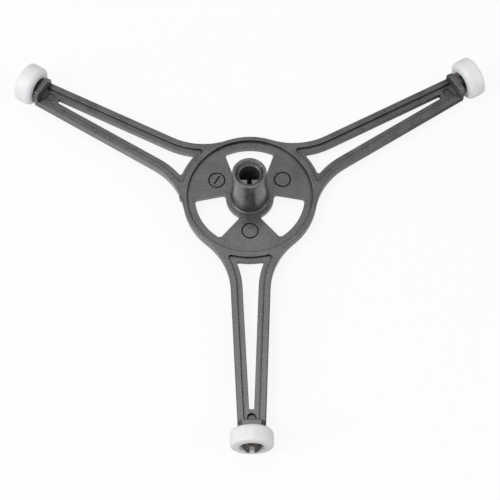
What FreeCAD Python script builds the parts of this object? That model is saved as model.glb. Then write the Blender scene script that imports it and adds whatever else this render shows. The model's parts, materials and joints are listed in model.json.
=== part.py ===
import FreeCAD, Part
import math
import os

from FreeCAD import Rotation, Vector

# Roller ring of a microwave oven's turntable: a moulded spider with a drive socket in its hub
# and a snap-on roller at the end of each arm. It stands on its rollers with the socket up, and
# in the oven it is turned over, so that the socket drops onto the motor's shaft.
# Millimetres and degrees. The origin is on the hub's axis, on the surface the rollers stand on.

# Arms, counted anticlockwise from the one that points along -Y
ARM_NAMES = ("front", "right", "left")
FIRST_ARM_ANGLE = -90.0

# Motor shaft that drives the ring, and the room the socket leaves round it
SHAFT_DIAMETER = 7.0
SHAFT_ACROSS_FLAT = 5.3
SHAFT_CLEARANCE = 0.1

# Levels of the moulding
AXLE_ABOVE_RAIL = 1.6
RAIL_THICKNESS = 3.0
DISC_RECESS_DEPTH = 1.1
ARM_RECESS_DEPTH = 0.8

# Hub tube and its D socket
TUBE_HEIGHT = 17.2
TUBE_DRAFT = 0.8
TUBE_FILLET = 0.8
TUBE_RIM_ROUND = 0.25
TUBE_RIM_WIDTH = 1.05
LEAD_IN_DEPTH = 1.4
LEAD_IN_SLOPE_WIDTH = 0.95
LEAD_IN_LEDGE_WIDTH = 0.35
SOCKET_NOTCH_WIDTH = 1.6
SOCKET_FLOOR = 2.0

# Ring and centre disc
RING_INNER_RADIUS = 22.0
RING_WIDTH = 1.5
DISC_RIM_WIDTH = 2.8
DISC_HUB_WIDTH = 2.2
DISC_WINDOW_SIDE_ANGLE = 18.9
DISC_WINDOW_APEX_OFFSET = 8.6
DISC_WINDOW_OUTER_CORNER = 1.3
DISC_WINDOW_INNER_CORNER = 1.2

# Round witness marks on the disc, one in line with each arm, one of them with a line across it
MARK_DIAMETER = 6.0
MARK_DISTANCE = 13.3
MARK_LINE_WIDTH = 0.4
MARK_LINE_LENGTH = 3.8
MARK_DEPTH = 0.5
LINED_MARK = "left"

# Nub that the moulding gate left on the ring's edge
GATE_ANGLE = 180.3
GATE_RADIUS = 0.9
GATE_STANDS_OUT = 1.2
GATE_BELOW_RAIL = 0.5

# Forked arms
ARM_LENGTH = 86.8
ARM_SIDE_TAPER = 2.45
ARM_FLARE_RADIUS = 24.0
ARM_END_CORNER = 0.8
RAIL_WIDTH = 2.1
RAIL_EDGE_ROUND = 0.3
STRIP_WIDTH = 2.0
STRIP_ROOT_WIDTH = 1.45
RING_RIB_WIDTH = 1.95
ARM_RECESS_CORNER = 1.0
ARM_WINDOW_TO_END = 7.3
ARM_WINDOW_TIP_WIDTH = 1.65
ARM_WINDOW_CORNER = 0.7
ARM_WINDOW_TIP_CORNER = 0.3
POCKET_DIAMETER = 3.1
POCKET_TO_PLATE = 2.4
# The ejectors that left the pockets stood at different heights
POCKET_DEPTH = {"front": 1.0, "right": 0.4, "left": 0.4}

# Upright plate at the end of each arm
PLATE_THICKNESS = 2.0
PLATE_ABOVE_RAIL = 4.0
PLATE_CHAMFER_WIDTH = 1.4
PLATE_CHAMFER_HEIGHT = 1.8
PLATE_FOOT_FILLET = 0.4
PLATE_EDGE_ROUND = 0.25

# Split snap pin that carries a roller
PIN_DIAMETER = 4.8
PIN_CLEARANCE = 0.1
PIN_SLOT_WIDTH = 1.6
PIN_SLOT_ROOT = 2.2
BARB_STEP = 0.9
BARB_LAND = 0.7
BARB_LENGTH = 2.0
BARB_TIP_DIAMETER = 4.4

# Rollers, with a recess round the pin on the inner face and a dish round the barb on the outer one
ROLLER_DIAMETER = 14.3
ROLLER_WIDTH = 6.1
ROLLER_INNER_ROUND = 1.8
ROLLER_OUTER_ROUND = 1.0
RECESS_DEPTH = 1.6
RECESS_ROOM = 1.6
DISH_DEPTH = 1.2
DISH_ROOM = 0.3
DISH_SLOPE_WIDTH = 0.7
ROLLER_PLATE_GAP = 0.2
ROLLER_END_PLAY = 1.0
# Share of the end play that lies between each roller and its plate
ROLLER_FLOAT = {"front": 0.65, "right": 0.84, "left": 0.17}

# Levels
ARM_STEP = 360.0 / len(ARM_NAMES)
AXLE_HEIGHT = ROLLER_DIAMETER / 2
RAIL_TOP = AXLE_HEIGHT - AXLE_ABOVE_RAIL
UNDERSIDE = RAIL_TOP - RAIL_THICKNESS
DISC_TOP = RAIL_TOP - DISC_RECESS_DEPTH
STRIP_TOP = RAIL_TOP - ARM_RECESS_DEPTH
PLATE_TOP = RAIL_TOP + PLATE_ABOVE_RAIL
TUBE_RIM = DISC_TOP + TUBE_HEIGHT

# Radii about the hub's axis, from the socket outwards
SOCKET_RADIUS = SHAFT_DIAMETER / 2 + SHAFT_CLEARANCE
SOCKET_FLAT = SHAFT_ACROSS_FLAT - SHAFT_DIAMETER / 2 + SHAFT_CLEARANCE
LEDGE_RADIUS = SOCKET_RADIUS + LEAD_IN_LEDGE_WIDTH
LEAD_IN_RADIUS = LEDGE_RADIUS + LEAD_IN_SLOPE_WIDTH
TUBE_TOP_RADIUS = LEAD_IN_RADIUS + TUBE_RIM_WIDTH
TUBE_FOOT_RADIUS = TUBE_TOP_RADIUS + TUBE_HEIGHT * math.tan(math.radians(TUBE_DRAFT))
DISC_WINDOW_INNER_RADIUS = TUBE_FOOT_RADIUS + DISC_HUB_WIDTH
DISC_WINDOW_OUTER_RADIUS = RING_INNER_RADIUS - DISC_RIM_WIDTH
RING_OUTER_RADIUS = RING_INNER_RADIUS + RING_WIDTH
ARM_RECESS_START = RING_INNER_RADIUS + RING_RIB_WIDTH
ARM_WINDOW_START = ARM_RECESS_START + STRIP_ROOT_WIDTH

# Places along an arm
ARM_WINDOW_END = ARM_LENGTH - ARM_WINDOW_TO_END
PLATE_INNER_FACE = ARM_LENGTH - PLATE_THICKNESS
POCKET_DISTANCE = PLATE_INNER_FACE - POCKET_TO_PLATE
BARB_FACE = ARM_LENGTH + ROLLER_PLATE_GAP + ROLLER_WIDTH - DISH_DEPTH + ROLLER_END_PLAY
PIN_TIP = BARB_FACE + BARB_LENGTH

# Widths of an arm and radii about its pin
LEG_WIDTH = RAIL_WIDTH + STRIP_WIDTH
LEG_ACROSS = LEG_WIDTH / math.cos(math.radians(ARM_SIDE_TAPER))
ARM_HALF_AT_TIP = ARM_WINDOW_TIP_WIDTH / 2 + LEG_ACROSS
ARM_END_HALF = ARM_HALF_AT_TIP - ARM_WINDOW_TO_END * math.tan(math.radians(ARM_SIDE_TAPER))
PIN_RADIUS = PIN_DIAMETER / 2
BARB_RADIUS = PIN_RADIUS + BARB_STEP
BORE_RADIUS = PIN_RADIUS + PIN_CLEARANCE
RECESS_RADIUS = PIN_RADIUS + RECESS_ROOM
DISH_FLOOR_RADIUS = BARB_RADIUS + DISH_ROOM
DISH_RIM_RADIUS = DISH_FLOOR_RADIUS + DISH_SLOPE_WIDTH

ORIGIN = Vector(0, 0, 0)
UP = Vector(0, 0, 1)
ALONG_ARM = Vector(1, 0, 0)
# Places closer together than this count as one
SAME_PLACE = 1e-4


def turned(vector, angle):
    return Rotation(UP, angle).multVec(vector)


def mirrored(vector):
    return Vector(vector.x, -vector.y, vector.z)


def line(start, end):
    return Part.makeLine(start, end)


def arc(start, middle, end):
    return Part.Arc(start, middle, end).toShape()


def round_inset(radius):
    """Distance of a quarter round's middle from either face that it joins."""
    return radius * (1 - math.sqrt(0.5))


def prism(edges, bottom, top):
    """Upright solid between two levels, from the edges of a closed outline drawn at level zero."""
    face = Part.Face(Part.Wire(edges))
    face.translate(UP * bottom)
    return face.extrude(UP * (top - bottom))


def revolved(points, axis_point, axis):
    """Solid of revolution of a polygon."""
    face = Part.Face(Part.makePolygon(points + points[:1]))
    return face.revolve(axis_point, axis, 360)


def upright_edges(solid, radius):
    """Upright edges of a solid that stand at a distance from the hub's axis."""
    found = []
    for edge in solid.Edges:
        low, high = edge.BoundBox.ZMin, edge.BoundBox.ZMax
        centre = edge.BoundBox.Center
        is_upright = edge.BoundBox.XLength + edge.BoundBox.YLength < SAME_PLACE and high > low
        if is_upright and abs(math.hypot(centre.x, centre.y) - radius) < SAME_PLACE:
            found.append(edge)
    return found


def edges_above(solid, level):
    """Edges of a solid that lie wholly above a level."""
    return [edge for edge in solid.Edges if edge.BoundBox.ZMin > level]


def on_each_arm(solid):
    """Copies of a solid drawn for an arm along +X, one on each arm."""
    copies = []
    for index in range(len(ARM_NAMES)):
        copy = solid.copy()
        copy.rotate(ORIGIN, UP, FIRST_ARM_ANGLE + index * ARM_STEP)
        copies.append(copy)
    return copies


# The arm's left edge runs along EDGE_DIRECTION through the corner at the arm's end
EDGE_DIRECTION = turned(ALONG_ARM, -ARM_SIDE_TAPER)
EDGE_NORMAL = turned(EDGE_DIRECTION, 90)
ARM_CORNER = Vector(ARM_LENGTH, ARM_END_HALF, 0)


def flare_centre():
    """Centre of the arc that touches both the ring and the arm's left edge from outside."""
    base = ARM_CORNER + EDGE_NORMAL * ARM_FLARE_RADIUS
    reach = RING_OUTER_RADIUS + ARM_FLARE_RADIUS
    half_sum = base.dot(EDGE_DIRECTION)
    root = math.sqrt(half_sum ** 2 - base.dot(base) + reach ** 2)
    return base + EDGE_DIRECTION * (root - half_sum)


FLARE_CENTRE = flare_centre()


def arm_side(inset, inner_radius, end):
    """Left side of an arm's outline, moved in by an inset, from a circle about the hub to a
    distance along the arm: start of the flare, its middle, its end and the end of the side."""
    radius = ARM_FLARE_RADIUS + inset
    reach = FLARE_CENTRE.Length
    to_flare = FLARE_CENTRE / reach
    along = (inner_radius ** 2 - radius ** 2 + reach ** 2) / (2 * reach)
    aside = math.sqrt(max(inner_radius ** 2 - along ** 2, 0))
    start = to_flare * along + turned(to_flare, -90) * aside
    touch = FLARE_CENTRE - EDGE_NORMAL * radius
    bisector = (start - FLARE_CENTRE) + (touch - FLARE_CENTRE)
    middle = FLARE_CENTRE + bisector.normalize() * radius
    corner = touch + EDGE_DIRECTION * ((end - touch.x) / EDGE_DIRECTION.x)
    return start, middle, touch, corner


def arm_area(inset, inner_radius, end):
    """Closed outline of an arm, moved in by an inset and closed by an arc about the hub."""
    start, middle, touch, corner = arm_side(inset, inner_radius, end)
    return [
        arc(mirrored(start), Vector(inner_radius, 0, 0), start),
        arc(start, middle, touch),
        line(touch, corner),
        line(corner, mirrored(corner)),
        line(mirrored(corner), mirrored(touch)),
        arc(mirrored(touch), mirrored(middle), mirrored(start)),
    ]


def spider_outline():
    """Outline of the ring and all arms in one closed run of tangent arcs and straight edges."""
    start, middle, touch, corner = arm_side(0, RING_OUTER_RADIUS, ARM_LENGTH)
    half_arm = [mirrored(start), mirrored(middle), mirrored(touch), mirrored(corner)]
    ring_middle = turned(Vector(RING_OUTER_RADIUS, 0, 0), ARM_STEP / 2)
    edges = []
    for index in range(len(ARM_NAMES)):
        angle = FIRST_ARM_ANGLE + index * ARM_STEP
        right = [turned(point, angle) for point in half_arm]
        left = [turned(point, angle) for point in (corner, touch, middle, start)]
        next_start = turned(half_arm[0], angle + ARM_STEP)
        edges += [
            arc(right[0], right[1], right[2]),
            line(right[2], right[3]),
            line(right[3], left[0]),
            line(left[0], left[1]),
            arc(left[1], left[2], left[3]),
            arc(left[3], turned(ring_middle, angle), next_start),
        ]
    return edges


def arm_recess():
    """Sunk strip inside the rails, from the ring to the end plate."""
    cutter = prism(arm_area(RAIL_WIDTH, ARM_RECESS_START, PLATE_INNER_FACE), STRIP_TOP, RAIL_TOP)
    return cutter.makeFillet(ARM_RECESS_CORNER, upright_edges(cutter, ARM_RECESS_START))


def arm_window():
    """Long tapered opening that forks the arm."""
    outline = arm_area(LEG_WIDTH, ARM_WINDOW_START, ARM_WINDOW_END)
    tip_radius = outline[3].Vertexes[0].Point.Length
    cutter = prism(outline, UNDERSIDE, RAIL_TOP)
    cutter = cutter.makeFillet(ARM_WINDOW_CORNER, upright_edges(cutter, ARM_WINDOW_START))
    return cutter.makeFillet(ARM_WINDOW_TIP_CORNER, upright_edges(cutter, tip_radius))


def disc_window():
    """Wedge-shaped opening in the disc, half-way between two arms."""
    side = turned(ALONG_ARM, DISC_WINDOW_SIDE_ANGLE)
    apex = ALONG_ARM * -DISC_WINDOW_APEX_OFFSET

    def on_side(radius):
        aside = DISC_WINDOW_APEX_OFFSET * side.y
        return apex + side * (DISC_WINDOW_APEX_OFFSET * side.x + math.sqrt(radius ** 2 - aside ** 2))

    inner = on_side(DISC_WINDOW_INNER_RADIUS)
    outer = on_side(DISC_WINDOW_OUTER_RADIUS)
    outline = [
        arc(mirrored(inner), ALONG_ARM * DISC_WINDOW_INNER_RADIUS, inner),
        line(inner, outer),
        arc(outer, ALONG_ARM * DISC_WINDOW_OUTER_RADIUS, mirrored(outer)),
        line(mirrored(outer), mirrored(inner)),
    ]
    cutter = prism(outline, UNDERSIDE, RAIL_TOP)
    inner_edges = upright_edges(cutter, DISC_WINDOW_INNER_RADIUS)
    cutter = cutter.makeFillet(DISC_WINDOW_INNER_CORNER, inner_edges)
    outer_edges = upright_edges(cutter, DISC_WINDOW_OUTER_RADIUS)
    cutter = cutter.makeFillet(DISC_WINDOW_OUTER_CORNER, outer_edges)
    cutter.rotate(ORIGIN, UP, ARM_STEP / 2)
    return cutter


def witness_mark():
    """Fine round groove left by an ejector in the mould."""
    place = Vector(MARK_DISTANCE, 0, DISC_TOP - MARK_DEPTH)
    outer = Part.makeCylinder(MARK_DIAMETER / 2, MARK_DEPTH, place)
    inner = Part.makeCylinder(MARK_DIAMETER / 2 - MARK_LINE_WIDTH, MARK_DEPTH, place)
    return outer.cut(inner)


def mark_line():
    """Fine straight groove across one witness mark, square to its arm."""
    corner = Vector(MARK_DISTANCE - MARK_LINE_WIDTH / 2, -MARK_LINE_LENGTH / 2, DISC_TOP - MARK_DEPTH)
    groove = Part.makeBox(MARK_LINE_WIDTH, MARK_LINE_LENGTH, MARK_DEPTH, corner)
    groove.rotate(ORIGIN, UP, FIRST_ARM_ANGLE + ARM_NAMES.index(LINED_MARK) * ARM_STEP)
    return groove


def gate_nub():
    """Stub of the gate, standing out from the ring's edge."""
    distance = RING_OUTER_RADIUS + GATE_STANDS_OUT - GATE_RADIUS
    foot = turned(ALONG_ARM, GATE_ANGLE) * distance + UP * UNDERSIDE
    return Part.makeCylinder(GATE_RADIUS, RAIL_THICKNESS - GATE_BELOW_RAIL, foot)


def arm_pocket(name):
    """Round sink in the strip of one arm, just inside the end plate."""
    depth = POCKET_DEPTH[name]
    pocket = Part.makeCylinder(POCKET_DIAMETER / 2, depth, Vector(POCKET_DISTANCE, 0, STRIP_TOP - depth))
    pocket.rotate(ORIGIN, UP, FIRST_ARM_ANGLE + ARM_NAMES.index(name) * ARM_STEP)
    return pocket


def round_arm_ends(solid):
    """Solid with its upright edges at the arms' outer corners rounded."""
    return solid.makeFillet(ARM_END_CORNER, upright_edges(solid, ARM_CORNER.Length))


def end_plate():
    """Upright plate across the arm's end, flush with its sides, with both top corners cut off and
    the edges along its top rounded."""
    shoulder = PLATE_TOP - PLATE_CHAMFER_HEIGHT
    half_top = ARM_END_HALF - PLATE_CHAMFER_WIDTH
    left = [(ARM_HALF_AT_TIP, UNDERSIDE), (ARM_HALF_AT_TIP, shoulder), (half_top, PLATE_TOP)]
    right = [(-across, level) for across, level in reversed(left)]
    points = [Vector(PLATE_INNER_FACE, across, level) for across, level in left + right]
    face = Part.Face(Part.makePolygon(points + points[:1]))
    block = face.extrude(ALONG_ARM * PLATE_THICKNESS)
    arm = prism(arm_area(0, RING_OUTER_RADIUS, ARM_LENGTH), UNDERSIDE, PLATE_TOP)
    plate = block.common(round_arm_ends(arm))
    return plate.makeFillet(PLATE_EDGE_ROUND, edges_above(plate, shoulder))


def plate_foot():
    """Fillet between the sunk strip and the plate, from rail to rail."""
    radius = PLATE_FOOT_FILLET
    inset = round_inset(radius)

    def place(back, height):
        return Vector(PLATE_INNER_FACE - back, -ARM_END_HALF + RAIL_WIDTH / 2, STRIP_TOP + height)

    profile = [
        line(place(0, radius), place(0, 0)),
        line(place(0, 0), place(radius, 0)),
        arc(place(radius, 0), place(inset, inset), place(0, radius)),
    ]
    width = 2 * ARM_END_HALF - RAIL_WIDTH
    return Part.Face(Part.Wire(profile)).extrude(Vector(0, width, 0))


def snap_pin():
    """Pin with a barbed head, split by an upright slot."""
    profile = [
        (ARM_LENGTH, 0),
        (ARM_LENGTH, PIN_RADIUS),
        (BARB_FACE, PIN_RADIUS),
        (BARB_FACE, BARB_RADIUS),
        (BARB_FACE + BARB_LAND, BARB_RADIUS),
        (PIN_TIP, BARB_TIP_DIAMETER / 2),
        (PIN_TIP, 0),
    ]
    points = [Vector(along, 0, AXLE_HEIGHT + radius) for along, radius in profile]
    pin = revolved(points, UP * AXLE_HEIGHT, ALONG_ARM)
    slot_start = ARM_LENGTH + PIN_SLOT_ROOT
    slot_corner = Vector(slot_start, -PIN_SLOT_WIDTH / 2, AXLE_HEIGHT - BARB_RADIUS)
    slot = Part.makeBox(PIN_TIP - slot_start, PIN_SLOT_WIDTH, 2 * BARB_RADIUS, slot_corner)
    return pin.cut(slot)


def hub_tube():
    """Slightly tapered tube on the disc, with a fillet round its foot and a rounded rim."""
    foot = TUBE_FOOT_RADIUS
    foot_inset = round_inset(TUBE_FILLET)
    rim_inset = round_inset(TUBE_RIM_ROUND)
    points = [
        Vector(0, 0, UNDERSIDE),
        Vector(foot + TUBE_FILLET, 0, UNDERSIDE),
        Vector(foot + TUBE_FILLET, 0, DISC_TOP),
        Vector(foot, 0, DISC_TOP + TUBE_FILLET),
        Vector(TUBE_TOP_RADIUS, 0, TUBE_RIM - TUBE_RIM_ROUND),
        Vector(TUBE_TOP_RADIUS - TUBE_RIM_ROUND, 0, TUBE_RIM),
        Vector(0, 0, TUBE_RIM),
    ]
    edges = [line(start, end) for start, end in zip(points, points[1:] + points[:1])]
    foot_middle = Vector(foot + foot_inset, 0, DISC_TOP + foot_inset)
    rim_middle = Vector(TUBE_TOP_RADIUS - rim_inset, 0, TUBE_RIM - rim_inset)
    edges[2] = arc(points[2], foot_middle, points[3])
    edges[4] = arc(points[4], rim_middle, points[5])
    return Part.Face(Part.Wire(edges)).revolve(ORIGIN, UP, 360)


def drive_socket():
    """Lead-in and D-shaped hole for the motor's shaft, with a notch in the middle of the flat."""
    half_flat = math.sqrt(SOCKET_RADIUS ** 2 - SOCKET_FLAT ** 2)
    half_notch = SOCKET_NOTCH_WIDTH / 2
    left_end = Vector(-half_flat, -SOCKET_FLAT, 0)
    right_end = Vector(half_flat, -SOCKET_FLAT, 0)
    corners = [
        left_end,
        Vector(-half_notch, -SOCKET_FLAT, 0),
        Vector(-half_notch, -SOCKET_RADIUS, 0),
        Vector(half_notch, -SOCKET_RADIUS, 0),
        Vector(half_notch, -SOCKET_FLAT, 0),
        right_end,
    ]
    edges = [line(start, end) for start, end in zip(corners, corners[1:])]
    edges.append(arc(right_end, Vector(0, SOCKET_RADIUS, 0), left_end))
    ledge = TUBE_RIM - LEAD_IN_DEPTH
    hole = prism(edges, UNDERSIDE + SOCKET_FLOOR, ledge)
    lead_in = Part.makeCone(LEDGE_RADIUS, LEAD_IN_RADIUS, LEAD_IN_DEPTH, Vector(0, 0, ledge))
    return hole.fuse(lead_in)


def spider():
    """The one-piece moulding: ring, disc, arms, hub, end plates and pins."""
    body = round_arm_ends(prism(spider_outline(), UNDERSIDE, RAIL_TOP))
    body = body.makeFillet(RAIL_EDGE_ROUND, edges_above(body, UNDERSIDE))
    disc_recess = Part.makeCylinder(RING_INNER_RADIUS, DISC_RECESS_DEPTH, Vector(0, 0, DISC_TOP))
    cutters = [disc_recess, mark_line()]
    cutters += [arm_pocket(name) for name in ARM_NAMES]
    for cutter in (arm_recess(), arm_window(), disc_window(), witness_mark()):
        cutters += on_each_arm(cutter)
    body = body.cut(cutters)
    additions = [hub_tube(), gate_nub()]
    for addition in (end_plate(), plate_foot(), snap_pin()):
        additions += on_each_arm(addition)
    body = body.fuse(additions)
    return body.cut(drive_socket()).removeSplitter()


def roller(share):
    """Roller on an arm along +X, at its share of the end play."""
    inner_face = ARM_LENGTH + ROLLER_PLATE_GAP + share * ROLLER_END_PLAY
    outer_face = inner_face + ROLLER_WIDTH
    radius = ROLLER_DIAMETER / 2
    inner_inset = round_inset(ROLLER_INNER_ROUND)
    outer_inset = round_inset(ROLLER_OUTER_ROUND)

    def place(along, distance):
        return Vector(along, 0, AXLE_HEIGHT + distance)

    inner_arc = [
        place(inner_face, radius - ROLLER_INNER_ROUND),
        place(inner_face + inner_inset, radius - inner_inset),
        place(inner_face + ROLLER_INNER_ROUND, radius),
    ]
    outer_arc = [
        place(outer_face - ROLLER_OUTER_ROUND, radius),
        place(outer_face - outer_inset, radius - outer_inset),
        place(outer_face, radius - ROLLER_OUTER_ROUND),
    ]
    inside = [
        outer_arc[2],
        place(outer_face, DISH_RIM_RADIUS),
        place(outer_face - DISH_DEPTH, DISH_FLOOR_RADIUS),
        place(outer_face - DISH_DEPTH, BORE_RADIUS),
        place(inner_face + RECESS_DEPTH, BORE_RADIUS),
        place(inner_face + RECESS_DEPTH, RECESS_RADIUS),
        place(inner_face, RECESS_RADIUS),
        inner_arc[0],
    ]
    edges = [arc(*inner_arc), line(inner_arc[2], outer_arc[0]), arc(*outer_arc)]
    edges += [line(start, end) for start, end in zip(inside, inside[1:])]
    return Part.Face(Part.Wire(edges)).revolve(UP * AXLE_HEIGHT, ALONG_ARM, 360)


def main():
    os.makedirs("parts", exist_ok=True)
    spider().exportStep("parts/spider.step")
    for index, name in enumerate(ARM_NAMES):
        wheel = roller(ROLLER_FLOAT[name])
        wheel.rotate(ORIGIN, UP, FIRST_ARM_ANGLE + index * ARM_STEP)
        wheel.exportStep("parts/roller_" + name + ".step")


main()
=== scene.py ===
import json
import math

import bpy
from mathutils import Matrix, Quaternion, Vector

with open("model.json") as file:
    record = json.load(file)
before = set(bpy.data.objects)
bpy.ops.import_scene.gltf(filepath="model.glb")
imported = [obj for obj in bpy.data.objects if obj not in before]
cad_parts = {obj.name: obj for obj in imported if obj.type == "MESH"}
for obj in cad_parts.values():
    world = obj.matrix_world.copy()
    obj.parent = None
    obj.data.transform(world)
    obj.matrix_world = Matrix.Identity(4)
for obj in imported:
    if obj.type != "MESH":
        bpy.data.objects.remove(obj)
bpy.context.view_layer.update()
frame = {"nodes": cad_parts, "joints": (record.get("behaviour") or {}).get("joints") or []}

NODES = frame["nodes"]

# Camera: where it looks, from how far and from which side, with its lens and sensor in millimetres
CAMERA_TARGET = Vector((-0.00009, -0.02138, 0.00555))
CAMERA_DISTANCE = 0.6175
CAMERA_ELEVATION = math.radians(63.92)
CAMERA_AZIMUTH = math.radians(0.59)
CAMERA_ROLL = math.radians(1.155)
CAMERA_LENS = 129.27
CAMERA_SENSOR = 36

# Colours, linear
GREY_DARK = (0.01, 0.0096, 0.01, 1)
GREY_LIGHT = (0.072, 0.0703, 0.073, 1)
SHEEN_TINT = (1, 0.97, 1, 1)
WHITE_COOL = (0.79, 0.795, 0.815, 1)
WHITE_WARM = (0.83, 0.83, 0.835, 1)
FLOOR_COLOUR = (0.92, 0.92, 0.92, 1)
WHITE = (1, 1, 1, 1)

# Radius by which the edges of the mouldings look rounded
GREY_EDGE_ROUND = 0.0003
WHITE_EDGE_ROUND = 0.0002

# Distances within which painted shade falls from low walls into each groove, and from tall ones into each
# corner
GROOVE_REACH = 0.0008
CORNER_REACH = 0.0025

# Fineness of each pattern, as its waves in a metre
GRAIN_SCALE = 2300
GREY_CLOUD_SCALE = 170
SPECK_SCALE = 800
WHITE_CLOUD_SCALE = 240
RUNNING_MARK_SCALE = 420

# Height of the relief that the patterns give
GRAIN_HEIGHT = 0.0001
RUNNING_MARK_HEIGHT = 0.00005

# Rubbed specks on the hub's tube, whose extra lightness is partly wear and partly painted highlight: the
# radii and heights over which they fade, and that extra lightness
TUBE_RADII = (0.008, 0.0095)
TUBE_FOOT_HEIGHTS = (0.006, 0.009)
SPECK_AND_HIGHLIGHT_GAIN = 1.6

# Satin skin on the grey plastic, and its refraction
SKIN_WEIGHT = 0.45
SKIN_ROUGHNESS = 0.28
GREY_IOR = 1.6

# Depth in metres to which red, green and blue light enters the white plastic
WHITE_DEPTHS = (0.004, 0.003, 0.002)
WHITE_TRANSLUCENCE = 0.3

# Floor, and the share of plain white in it where it is seen, which leaves the rest for the shadow
FLOOR_SIZE = 6
FLOOR_GLOW = 0.88

# Painted pool of light on the floor, a glow that only glossy faces mirror, with the distances over which
# it fades
POOL_CENTRE = (-0.03, 0.01, 0)
POOL_FADE = (0.01, 0.11)
POOL_LEAST = 0.1

# Lamps, with azimuth and elevation in degrees, side in metres and power in watts
LAMPS = {
    "softbox_front_left": (208, 50, 0.6, 4.9),
    "softbox_back": (116, 76, 0.42, 1.45),
    "fill_left": (195, 18, 0.4, 1.5),
    "fill_right": (-15, 36, 0.5, 2.2),
}
LAMP_DISTANCE = 1.1
AMBIENT = 0.4


def new_material(name):
    material = bpy.data.materials.new(name)
    material.use_nodes = True
    nodes = material.node_tree.nodes
    return material, nodes, material.node_tree.links, nodes["Principled BSDF"]


def math_node(nodes, links, operation, first, second):
    """Math node on two inputs, each an output socket or a number."""
    node = nodes.new("ShaderNodeMath")
    node.operation = operation
    for socket, value in zip(node.inputs, (first, second)):
        if isinstance(value, (int, float)):
            socket.default_value = value
        else:
            links.new(value, socket)
    return node.outputs["Value"]


def average(nodes, links, first, second):
    return math_node(nodes, links, "MULTIPLY", math_node(nodes, links, "ADD", first, second), 0.5)


def noise(nodes, links, coordinates, scale, detail, roughness):
    texture = nodes.new("ShaderNodeTexNoise")
    texture.inputs["Scale"].default_value = scale
    texture.inputs["Detail"].default_value = detail
    texture.inputs["Roughness"].default_value = roughness
    links.new(coordinates, texture.inputs["Vector"])
    return texture.outputs["Fac"]


def ramp(nodes, links, factor, span, colours):
    """Goes from one colour to another while the factor crosses a span."""
    node = nodes.new("ShaderNodeValToRGB")
    for element, position, colour in zip(node.color_ramp.elements, span, colours):
        element.position = position
        element.color = colour
    links.new(factor, node.inputs["Fac"])
    return node.outputs["Color"]


def spread(nodes, links, value, span, results):
    """Goes from one number to another while the value crosses a span."""
    node = nodes.new("ShaderNodeMapRange")
    for side, start, result in zip(("Min", "Max"), span, results):
        node.inputs["From " + side].default_value = start
        node.inputs["To " + side].default_value = result
    links.new(value, node.inputs["Value"])
    return node.outputs["Result"]


def relief(nodes, links, height, strength, distance, edge_round):
    """Bumps of the surface, on top of edges that look rounded."""
    edge = nodes.new("ShaderNodeBevel")
    edge.samples = 6
    edge.inputs["Radius"].default_value = edge_round
    node = nodes.new("ShaderNodeBump")
    node.inputs["Strength"].default_value = strength
    node.inputs["Distance"].default_value = distance
    links.new(height, node.inputs["Height"])
    links.new(edge.outputs["Normal"], node.inputs["Normal"])
    return node.outputs["Normal"]


def painted_shade(nodes, links, reach, least, span):
    """Painted shade: one on open faces, and less along the feet of walls and in each groove, where shade
    falls.
    """
    node = nodes.new("ShaderNodeAmbientOcclusion")
    node.samples = 8
    node.inputs["Distance"].default_value = reach
    return spread(nodes, links, node.outputs["AO"], span, (least, 1))


def tube_specks_and_highlight(nodes, links, place):
    """Rubbed specks on the hub's tube, also carrying painted highlight brightness, from zero where there
    are none to one where they are strongest.
    """
    sides = nodes.new("ShaderNodeSeparateXYZ")
    links.new(place, sides.inputs["Vector"])
    flat = nodes.new("ShaderNodeVectorMath")
    flat.operation = "MULTIPLY"
    flat.inputs[1].default_value = (1, 1, 0)
    links.new(place, flat.inputs[0])
    radius = nodes.new("ShaderNodeVectorMath")
    radius.operation = "LENGTH"
    links.new(flat.outputs["Vector"], radius.inputs[0])
    near = spread(nodes, links, radius.outputs["Value"], TUBE_RADII, (1, 0))
    raised = spread(nodes, links, sides.outputs["Z"], TUBE_FOOT_HEIGHTS, (0, 1))
    specks = spread(nodes, links, noise(nodes, links, place, SPECK_SCALE, 4, 0.7), (0.4, 0.65), (0, 1))
    return math_node(nodes, links, "MULTIPLY", math_node(nodes, links, "MULTIPLY", near, raised), specks)


def grey_colour(nodes, links, place, tone, clear):
    """Mottled grey, with painted shade where walls are near, and lighter on the tube's worn specks, which
    also carry painted highlight brightness.
    """
    # Rubbed specks lighten the tube, partly as wear and partly as painted highlight
    specks_and_highlight = math_node(nodes, links, "MULTIPLY", tube_specks_and_highlight(nodes, links, place), SPECK_AND_HIGHLIGHT_GAIN)
    specks_and_highlight_gain = math_node(nodes, links, "ADD", specks_and_highlight, 1)
    colour = nodes.new("ShaderNodeVectorMath")
    colour.operation = "SCALE"
    links.new(ramp(nodes, links, tone, (0.4, 0.6), (GREY_DARK, GREY_LIGHT)), colour.inputs["Vector"])
    links.new(math_node(nodes, links, "MULTIPLY", clear, specks_and_highlight_gain), colour.inputs["Scale"])
    return colour.outputs["Vector"]


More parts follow.
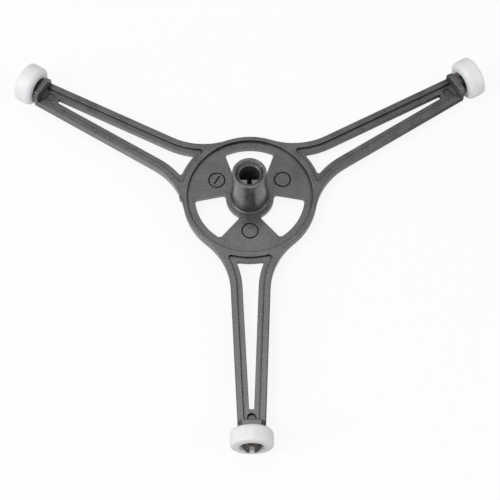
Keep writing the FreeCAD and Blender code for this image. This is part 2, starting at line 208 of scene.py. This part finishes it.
def moulded_grey():
    """Dark satin plastic with the fine mottled grain of a spark-eroded mould."""
    material, nodes, links, shader = new_material("moulded_grey")
    place = nodes.new("ShaderNodeTexCoord").outputs["Object"]
    grain = noise(nodes, links, place, GRAIN_SCALE, 2, 0.6)
    tone = average(nodes, links, grain, noise(nodes, links, place, GREY_CLOUD_SCALE, 4, 0.6))
    # Painted shade at the feet of walls, in each groove and corner, darkening the colour, coat and gloss
    groove_shade = painted_shade(nodes, links, GROOVE_REACH, 0.35, (0.4, 0.9))
    corner_shade = painted_shade(nodes, links, CORNER_REACH, 0.3, (0.4, 0.8))
    clear = math_node(nodes, links, "MULTIPLY", groove_shade, corner_shade)
    links.new(grey_colour(nodes, links, place, tone, clear), shader.inputs["Base Color"])
    links.new(spread(nodes, links, tone, (0.4, 0.6), (0.25, 0.37)), shader.inputs["Roughness"])
    surface = relief(nodes, links, grain, 0.55, GRAIN_HEIGHT, GREY_EDGE_ROUND)
    links.new(surface, shader.inputs["Normal"])
    links.new(surface, shader.inputs["Coat Normal"])
    # The painted shade also dims the coat and the gloss
    links.new(math_node(nodes, links, "MULTIPLY", clear, SKIN_WEIGHT), shader.inputs["Coat Weight"])
    shader.inputs["Coat Roughness"].default_value = SKIN_ROUGHNESS
    links.new(clear, shader.inputs["Specular IOR Level"])
    shader.inputs["IOR"].default_value = GREY_IOR
    shader.inputs["Specular Tint"].default_value = SHEEN_TINT
    return material


def running_marks(nodes, links, place, joint):
    """Rings round the axle that a roller's joint gives."""
    along_x, along_y, _ = joint["axis"]
    axle = nodes.new("ShaderNodeMapping")
    axle.inputs["Location"].default_value = (0, 0, -joint["pos_m"][2])
    axle.inputs["Rotation"].default_value = (0, 0, -math.atan2(along_y, along_x))
    links.new(place, axle.inputs["Vector"])
    rings = nodes.new("ShaderNodeTexWave")
    rings.wave_type = "RINGS"
    rings.rings_direction = "X"
    rings.inputs["Scale"].default_value = RUNNING_MARK_SCALE
    rings.inputs["Distortion"].default_value = 3
    rings.inputs["Detail"].default_value = 2
    links.new(axle.outputs["Vector"], rings.inputs["Vector"])
    return rings.outputs["Fac"]


def roller_white(joint):
    """White bearing plastic, a little translucent, with faint running marks."""
    material, nodes, links, shader = new_material("white_of_" + joint["child"])
    place = nodes.new("ShaderNodeTexCoord").outputs["Object"]
    cloud = noise(nodes, links, place, WHITE_CLOUD_SCALE, 3, 0.5)
    tone = average(nodes, links, running_marks(nodes, links, place, joint), cloud)
    links.new(ramp(nodes, links, tone, (0.3, 0.7), (WHITE_COOL, WHITE_WARM)), shader.inputs["Base Color"])
    links.new(spread(nodes, links, cloud, (0.3, 0.7), (0.3, 0.44)), shader.inputs["Roughness"])
    surface = relief(nodes, links, tone, 0.08, RUNNING_MARK_HEIGHT, WHITE_EDGE_ROUND)
    links.new(surface, shader.inputs["Normal"])
    shader.inputs["Subsurface Weight"].default_value = WHITE_TRANSLUCENCE
    shader.inputs["Subsurface Radius"].default_value = WHITE_DEPTHS
    shader.inputs["Subsurface Scale"].default_value = 1.0
    return material


def seen_ray(nodes, links):
    """One where a surface is looked at, directly or by way of a gloss or a clear piece."""
    path = nodes.new("ShaderNodeLightPath").outputs
    mirrored = math_node(nodes, links, "MAXIMUM", path["Is Glossy Ray"], path["Is Transmission Ray"])
    return math_node(nodes, links, "MAXIMUM", path["Is Camera Ray"], mirrored)


def studio_floor():
    """Pale table top that shows as white, keeps a soft shadow and is mirrored as a painted pool of light.
    """
    material, nodes, links, shader = new_material("studio_floor")
    shader.inputs["Base Color"].default_value = FLOOR_COLOUR
    shader.inputs["Roughness"].default_value = 0.9
    pool = nodes.new("ShaderNodeVectorMath")
    pool.operation = "DISTANCE"
    pool.inputs[1].default_value = POOL_CENTRE
    links.new(nodes.new("ShaderNodeTexCoord").outputs["Object"], pool.inputs[0])
    # Painted pool of light: the glow that gloss mirrors fades away from a spot left of the hub
    painted_pool_glow = spread(nodes, links, pool.outputs["Value"], POOL_FADE, (1, POOL_LEAST))
    straight = nodes.new("ShaderNodeLightPath").outputs["Is Camera Ray"]
    glow = nodes.new("ShaderNodeEmission")
    glow.inputs["Color"].default_value = WHITE
    links.new(math_node(nodes, links, "MAXIMUM", straight, painted_pool_glow), glow.inputs["Strength"])
    mix = nodes.new("ShaderNodeMixShader")
    links.new(math_node(nodes, links, "MULTIPLY", seen_ray(nodes, links), FLOOR_GLOW), mix.inputs["Fac"])
    links.new(shader.outputs["BSDF"], mix.inputs[1])
    links.new(glow.outputs["Emission"], mix.inputs[2])
    links.new(mix.outputs["Shader"], nodes["Material Output"].inputs["Surface"])
    return material


def dress(node, material):
    mesh = NODES[node].data
    mesh.materials.clear()
    mesh.materials.append(material)


def add_floor():
    bpy.ops.mesh.primitive_plane_add(size=FLOOR_SIZE)
    floor = bpy.context.object
    floor.name = "floor"
    floor.data.materials.append(studio_floor())


def add_lamp(name, azimuth, elevation, size, power):
    """Square softbox that faces the object from a direction given in degrees."""
    data = bpy.data.lights.new(name, "AREA")
    data.shape = "SQUARE"
    data.size = size
    data.energy = power
    lamp = bpy.data.objects.new(name, data)
    turn = math.radians(azimuth)
    rise = math.radians(elevation)
    outwards = Vector((math.cos(rise) * math.cos(turn), math.cos(rise) * math.sin(turn), math.sin(rise)))
    lamp.location = outwards * LAMP_DISTANCE
    lamp.rotation_euler = outwards.to_track_quat("Z", "Y").to_euler()
    bpy.context.scene.collection.objects.link(lamp)


def add_world(strength):
    """Dim even surroundings that show as white behind the object."""
    world = bpy.data.worlds.new("studio")
    world.use_nodes = True
    nodes = world.node_tree.nodes
    links = world.node_tree.links
    dim = nodes["Background"]
    dim.inputs["Color"].default_value = WHITE
    dim.inputs["Strength"].default_value = strength
    bright = nodes.new("ShaderNodeBackground")
    bright.inputs["Color"].default_value = WHITE
    bright.inputs["Strength"].default_value = 1.0
    mix = nodes.new("ShaderNodeMixShader")
    links.new(nodes.new("ShaderNodeLightPath").outputs["Is Camera Ray"], mix.inputs["Fac"])
    links.new(dim.outputs["Background"], mix.inputs[1])
    links.new(bright.outputs["Background"], mix.inputs[2])
    links.new(mix.outputs["Shader"], nodes["World Output"].inputs["Surface"])
    bpy.context.scene.world = world


def add_camera():
    """Camera on the photograph's side of the object, turned upright and then rolled."""
    direction = Vector((
        math.cos(CAMERA_ELEVATION) * math.sin(CAMERA_AZIMUTH),
        -math.cos(CAMERA_ELEVATION) * math.cos(CAMERA_AZIMUTH),
        math.sin(CAMERA_ELEVATION),
    ))
    data = bpy.data.cameras.new("camera")
    data.sensor_width = CAMERA_SENSOR
    data.lens = CAMERA_LENS
    camera = bpy.data.objects.new("camera", data)
    camera.location = CAMERA_TARGET + direction * CAMERA_DISTANCE
    upright = (-direction).to_track_quat("-Z", "Y")
    camera.rotation_euler = (upright @ Quaternion((0, 0, 1), -CAMERA_ROLL)).to_euler()
    bpy.context.scene.collection.objects.link(camera)
    bpy.context.scene.camera = camera


def main():
    dress("spider", moulded_grey())
    for joint in frame["joints"]:
        dress(joint["child"], roller_white(joint))
    add_floor()
    add_world(AMBIENT)
    for name, settings in LAMPS.items():
        add_lamp(name, *settings)
    add_camera()
    bpy.context.scene.view_settings.view_transform = "Standard"


main()
